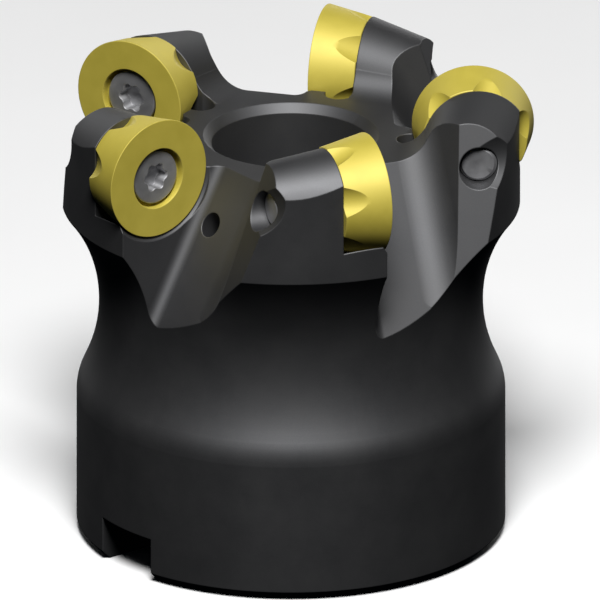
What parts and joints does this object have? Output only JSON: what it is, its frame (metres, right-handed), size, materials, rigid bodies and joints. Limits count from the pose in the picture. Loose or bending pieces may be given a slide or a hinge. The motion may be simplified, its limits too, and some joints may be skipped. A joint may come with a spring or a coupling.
{
  "type": "face mill",
  "caption": "Shell-type face mill: waisted steel cutter body with gullets and round gold-coated indexable inserts, each held by a countersunk six-lobe screw.",
  "frame": {"origin": "on the cutter's axis at the flat rear face that seats on the arbor", "axes": "+Z along the cutter's axis towards the cutting end; the drive slots lie along X; the first insert stands at -X"},
  "size_m": [0.049, 0.0487, 0.05],
  "materials": {
    "body_steel": "dark grey satin hardened steel, fine machined",
    "insert_coating": "matt gold hard coating",
    "screw_steel": "plain grey steel"
  },
  "bodies": {
    "cutter": {"cutter_body": "body_steel"},
    "insert_1": {"insert_1": "insert_coating"},
    "insert_screw_1": {"insert_screw_1": "screw_steel"},
    "insert_2": {"insert_2": "insert_coating"},
    "insert_screw_2": {"insert_screw_2": "screw_steel"},
    "insert_3": {"insert_3": "insert_coating"},
    "insert_screw_3": {"insert_screw_3": "screw_steel"},
    "insert_4": {"insert_4": "insert_coating"},
    "insert_screw_4": {"insert_screw_4": "screw_steel"},
    "insert_5": {"insert_5": "insert_coating"},
    "insert_screw_5": {"insert_screw_5": "screw_steel"}
  },
  "joints": [
    {"name": "insert_1_lift", "type": "slide", "parent": "cutter", "child": "insert_1", "axis": [0, -0.9996, 0.0279], "range_m": [0, 0.0063]},
    {"name": "insert_screw_1_turn", "type": "hinge", "parent": "insert_1", "child": "insert_screw_1", "pos_m": [-0.01895, -0.00043, 0.0436], "axis": [0, -0.9996, 0.0279], "range_deg": [0, 3240.1]},
    {"name": "insert_2_lift", "type": "slide", "parent": "cutter", "child": "insert_2", "axis": [0.9507, -0.3089, 0.0279], "range_m": [0, 0.0063]},
    {"name": "insert_screw_2_turn", "type": "hinge", "parent": "insert_2", "child": "insert_screw_2", "pos_m": [-0.00545, -0.01816, 0.0436], "axis": [0.9507, -0.3089, 0.0279], "range_deg": [0, 3240.1]},
    {"name": "insert_3_lift", "type": "slide", "parent": "cutter", "child": "insert_3", "axis": [0.5876, 0.8087, 0.0279], "range_m": [0, 0.0063]},
    {"name": "insert_screw_3_turn", "type": "hinge", "parent": "insert_3", "child": "insert_screw_3", "pos_m": [0.01558, -0.01079, 0.0436], "axis": [0.5876, 0.8087, 0.0279], "range_deg": [0, 3240.1]},
    {"name": "insert_4_lift", "type": "slide", "parent": "cutter", "child": "insert_4", "axis": [-0.5876, 0.8087, 0.0279], "range_m": [0, 0.0063]},
    {"name": "insert_screw_4_turn", "type": "hinge", "parent": "insert_4", "child": "insert_screw_4", "pos_m": [0.01508, 0.01149, 0.0436], "axis": [-0.5876, 0.8087, 0.0279], "range_deg": [0, 3240.1]},
    {"name": "insert_5_lift", "type": "slide", "parent": "cutter", "child": "insert_5", "axis": [-0.9507, -0.3089, 0.0279], "range_m": [0, 0.0063]},
    {"name": "insert_screw_5_turn", "type": "hinge", "parent": "insert_5", "child": "insert_screw_5", "pos_m": [-0.00626, 0.01789, 0.0436], "axis": [-0.9507, -0.3089, 0.0279], "range_deg": [0, 3240.1]}
  ],
  "couplings": [
    {"joint": "insert_screw_1_turn", "follows": "insert_1_lift", "rad_per_m": 8976},
    {"joint": "insert_screw_2_turn", "follows": "insert_2_lift", "rad_per_m": 8976},
    {"joint": "insert_screw_3_turn", "follows": "insert_3_lift", "rad_per_m": 8976},
    {"joint": "insert_screw_4_turn", "follows": "insert_4_lift", "rad_per_m": 8976},
    {"joint": "insert_screw_5_turn", "follows": "insert_5_lift", "rad_per_m": 8976}
  ]
}
